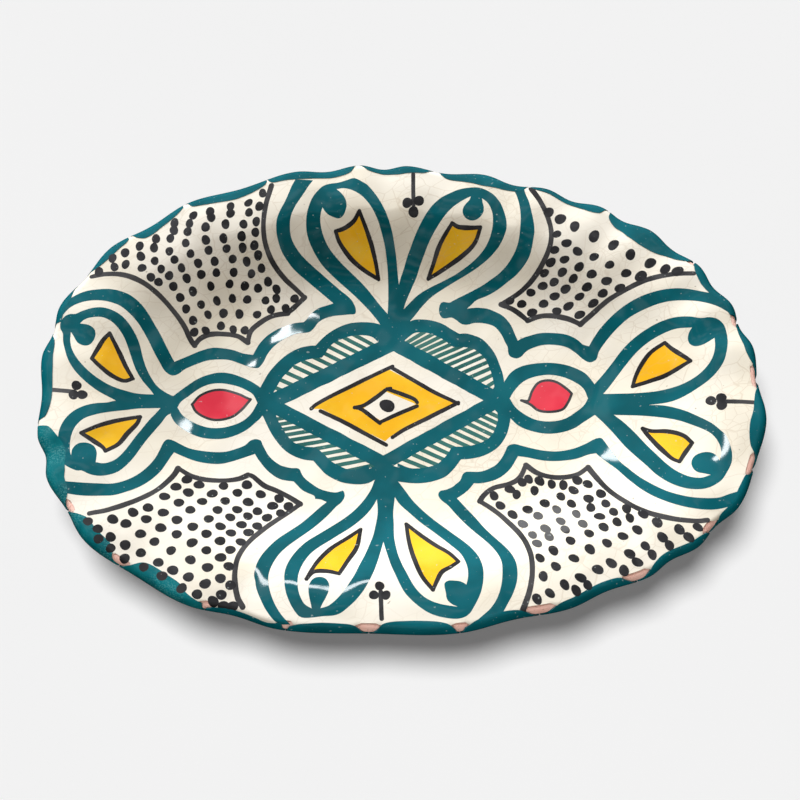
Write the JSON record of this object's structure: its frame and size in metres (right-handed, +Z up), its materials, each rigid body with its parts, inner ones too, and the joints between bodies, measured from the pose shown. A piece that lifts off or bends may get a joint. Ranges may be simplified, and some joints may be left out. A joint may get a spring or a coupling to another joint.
{
  "type": "hand painted oval ceramic plate",
  "caption": "Shallow oval earthenware plate with a hand-fluted rim, cream glaze, a dabbed teal lip and brushed folk ornament, standing on a low foot ring.",
  "frame": {"origin": "middle of the oval rim in plan, on the surface that the foot ring stands on", "axes": "+X along the length of the oval, +Y across it, away from the picture's viewer, +Z up out of the well"},
  "size_m": [0.3024, 0.2128, 0.0301],
  "materials": {
    "fired_clay": "bare, matt, pink-buff earthenware",
    "cream_glaze": "glossy, finely crazed tin glaze",
    "teal_enamel": "glossy brushed colour",
    "yellow_enamel": "glossy brushed colour",
    "red_enamel": "glossy brushed colour",
    "black_enamel": "glossy brushed colour"
  },
  "bodies": {
    "root": {"clay_body": "fired_clay", "foot_ring": "fired_clay", "face_glaze": "cream_glaze", "back_glaze": "cream_glaze", "lip_dab_01": "teal_enamel", "lip_dab_02": "teal_enamel", "lip_dab_03": "teal_enamel", "lip_dab_04": "teal_enamel", "lip_dab_05": "teal_enamel", "lip_dab_06": "teal_enamel", "lip_dab_07": "teal_enamel", "lip_dab_08": "teal_enamel", "lip_dab_09": "teal_enamel", "lip_dab_10": "teal_enamel", "lip_dab_11": "teal_enamel", "lip_dab_12": "teal_enamel", "lip_dab_13": "teal_enamel", "lip_dab_14": "teal_enamel", "lip_dab_15": "teal_enamel", "lip_dab_16": "teal_enamel", "lip_dab_17": "teal_enamel", "lip_dab_18": "teal_enamel", "lip_dab_19": "teal_enamel", "lip_dab_20": "teal_enamel", "lip_dab_21": "teal_enamel", "lip_dab_22": "teal_enamel", "lip_dab_23": "teal_enamel"}
  },
  "joints": []
}
